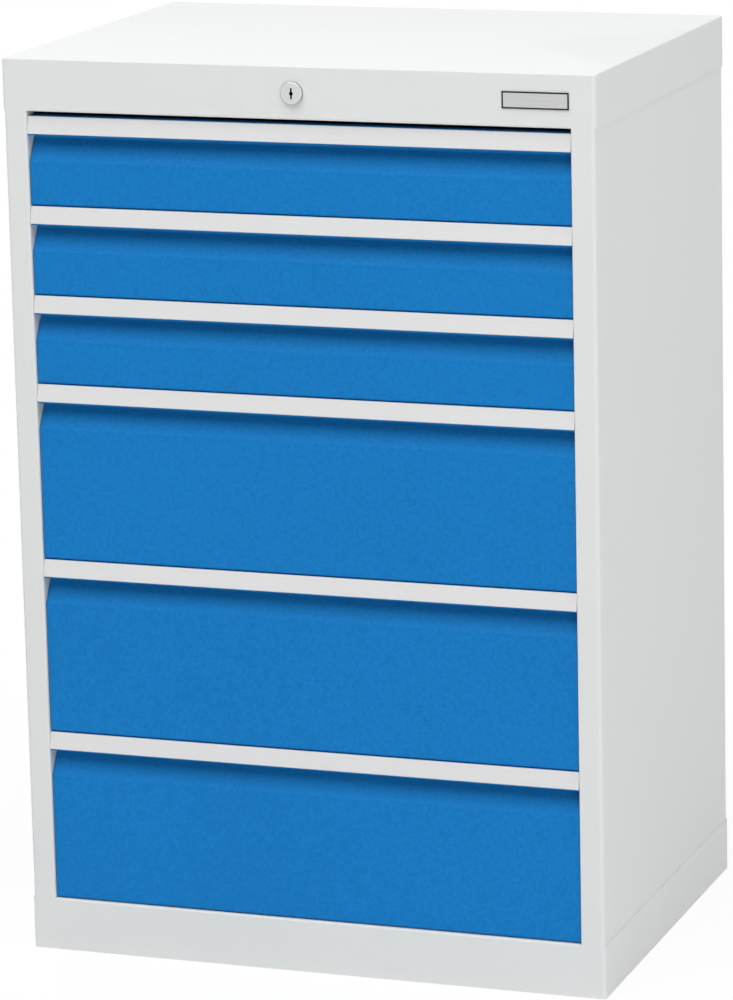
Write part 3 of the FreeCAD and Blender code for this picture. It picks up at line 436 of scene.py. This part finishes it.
def badge_metal(rolled):
    """Bare plate, brushed along its length."""
    pattern = {
        "Colour": (0.54, 0.545, 0.545, 1.0), "Streaks": 1200.0, "Contrast": 0.06, "Roughness": 0.36,
        "Stretch": ALONG_X,
    }
    return new_finish("badge_metal", rolled, pattern, {"Metallic": 1.0}, BRUSHED_RELIEF)


def rivet_metal(rolled):
    """Plain metal of the rivets."""
    pattern = {"Colour": (0.66, 0.66, 0.67, 1.0), "Streaks": 700.0, "Contrast": 0.05, "Roughness": 0.35}
    return new_finish("rivet_metal", rolled, pattern, {"Metallic": 1.0}, BRUSHED_RELIEF)


COATS = (cabinet_grey, drawer_blue, tray_grey, guide_plastic)
METALS = (grip_grey, slide_steel, ball_steel, zinc_steel, lock_metal, badge_metal, rivet_metal)


def make_finishes():
    """Every slot's finish, by the slot's name, which its function has too."""
    powder = make_powder_group()
    rolled = make_rolled_group()
    finishes = {make.__name__: make(powder) for make in COATS}
    finishes.update({make.__name__: make(rolled) for make in METALS})
    return finishes


# Finishes of single nodes that carry a mark

def new_zone(material, group, centre, half_size=(0.0, 0.0, 0.0)):
    """The zone group's outputs in a material, about a centre in metres."""
    inputs = {"Centre": centre, "Half size": half_size}
    return add_node(material.node_tree, "Group", inputs, node_tree=group).outputs


def beyond(tree, value, limit, soft):
    """A mask that rises from 0 to 1 where a value passes a limit."""
    step = add_node(
        tree, "MapRange", {"Value": value, "From Min": limit - soft, "From Max": limit + soft},
        interpolation_type="SMOOTHSTEP",
    )
    return step.outputs[0]


def tint(material, mask, colour, roughness):
    """Blend a finish towards another colour and roughness where a mask is 1."""
    tree = material.node_tree
    shader = tree.nodes["Principled BSDF"]
    for label, kind, end in (("Base Color", "RGBA", colour), ("Roughness", "FLOAT", roughness)):
        own = shader.inputs[label].links[0].from_socket
        feed(tree, shader.inputs[label], mixed(tree, kind, mask, own, end))


def middle_and_half(node):
    """The middle of a node's box and half its size."""
    low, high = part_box(node)
    return (low + high) / 2, (high - low) / 2


def copy_finish(base, name):
    """A finish's copy for one part."""
    material = base.copy()
    material.name = name
    return material


def lock_core_metal(lock_finish, zone_group):
    """Lock metal with painted shade, near black, inside the keyhole."""
    material = copy_finish(lock_finish, "lock_core_metal")
    tree = material.node_tree
    middle, half = middle_and_half("lock_core")
    zone = new_zone(material, zone_group, (middle.x, middle.y - half.y, middle.z))
    deep = beyond(tree, zone["Behind"], KEYHOLE_DEPTH, SHARP_EDGE)
    on_wall = beyond(tree, zone["From axis"], half.x - CORE_WALL, SHARP_EDGE)
    # Painted shade: the keyhole's inside is darkened where the bore runs back into the core
    hole_shade = compute(tree, "SUBTRACT", deep, on_wall, clamp=True)
    tint(material, hole_shade, KEYHOLE_PAINTED_SHADE, roughness=0.8)
    return material


def lock_rosette_metal(lock_finish, zone_group):
    """Lock metal with painted shade on its rounded rim."""
    material = copy_finish(lock_finish, "lock_rosette_metal")
    middle, half = middle_and_half("lock_housing")
    zone = new_zone(material, zone_group, middle)
    # Painted shade: the rosette's outer rim is darkened as a band near its edge
    rim_shade = beyond(material.node_tree, zone["From axis"], half.x - ROSETTE_RIM, RIM_EDGE)
    tint(material, rim_shade, RIM_PAINTED_SHADE, roughness=0.4)
    return material


def badge_plate_metal(badge_finish, zone_group):
    """Bare badge metal with a dark border."""
    material = copy_finish(badge_finish, "badge_plate_metal")
    middle, half = middle_and_half("badge_plate")
    field = half - Vector((BADGE_BORDER, 0.0, BADGE_BORDER))
    zone = new_zone(material, zone_group, middle, field)
    border = beyond(material.node_tree, zone["Outside box"], 0.0, SHARP_EDGE)
    tint(material, border, BORDER_GREY, roughness=0.5)
    return material


def make_special_finishes(finishes):
    """The marked finishes, by the name of their node."""
    zone_group = make_zone_group()
    return {
        "lock_core": lock_core_metal(finishes["lock_metal"], zone_group),
        "lock_housing": lock_rosette_metal(finishes["lock_metal"], zone_group),
        "badge_plate": badge_plate_metal(finishes["badge_metal"], zone_group),
    }


def dress_nodes(finishes):
    """Give each node its own finish or the finish of its slot."""
    special = make_special_finishes(finishes)
    for part in frame["record"]["subparts"]:
        finish = special.get(part["node"], finishes[part["material_slot"]])
        for slot in frame["nodes"][part["node"]].material_slots:
            slot.link = "OBJECT"
            slot.material = finish


bpy.context.scene.view_settings.view_transform = "Standard"
set_camera()
set_world()
for lamp_name, settings in LAMPS.items():
    add_lamp(lamp_name, *settings)
add_floor()
dress_nodes(make_finishes())
